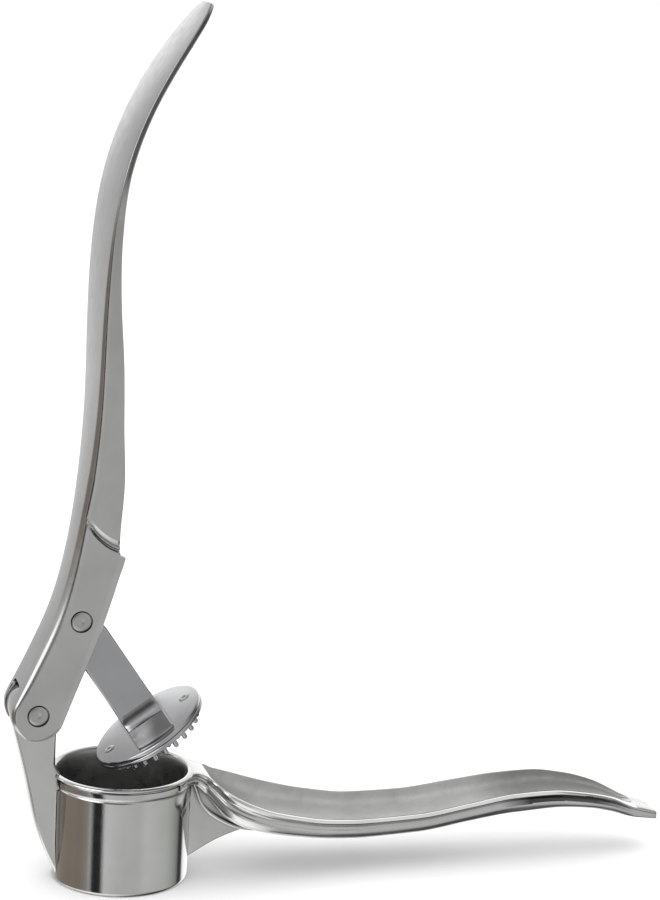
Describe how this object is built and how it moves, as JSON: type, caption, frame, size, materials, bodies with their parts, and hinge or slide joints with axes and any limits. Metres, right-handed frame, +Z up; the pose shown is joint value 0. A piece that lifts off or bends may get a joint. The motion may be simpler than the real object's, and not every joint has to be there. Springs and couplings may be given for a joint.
{
  "type": "garlic press",
  "caption": "Hand-held cast metal press: a cup with a perforated floor, a fixed handle, and a hinged lever that carries a swinging studded plunger.",
  "frame": {"origin": "middle of the flat bottom of the cup, on the plane it stands on", "axes": "+X along the fixed handle towards its tip, +Z up along the cup's axis, +Y across, along the hinge pins; the part is the same on both sides of y = 0"},
  "size_m": [0.1745, 0.0364, 0.2185],
  "materials": {
    "cast_aluminium": "polished casting",
    "lever_aluminium": "satin polished casting",
    "plunger_aluminium": "polished casting",
    "stud_aluminium": "polished",
    "sieve_steel": "satin",
    "pin_steel": "satin"
  },
  "bodies": {
    "base": {"lower_casting": "cast_aluminium", "sieve_plate": "sieve_steel"},
    "lever": {"upper_handle": "lever_aluminium", "main_pivot_pin": "pin_steel", "plunger_pivot_pin": "pin_steel"},
    "plunger": {"plunger_arm": "plunger_aluminium", "stud_plate": "stud_aluminium", "head_rivets": "pin_steel"}
  },
  "joints": [
    {"name": "lever_hinge", "type": "hinge", "parent": "base", "child": "lever", "pos_m": [-0.0229, 0, 0.0446], "axis": [0, 1, 0], "range_deg": [-75, 30]},
    {"name": "plunger_hinge", "type": "hinge", "parent": "lever", "child": "plunger", "pos_m": [-0.0129, 0, 0.0683], "axis": [0, 1, 0], "range_deg": [-100, 0]}
  ]
}
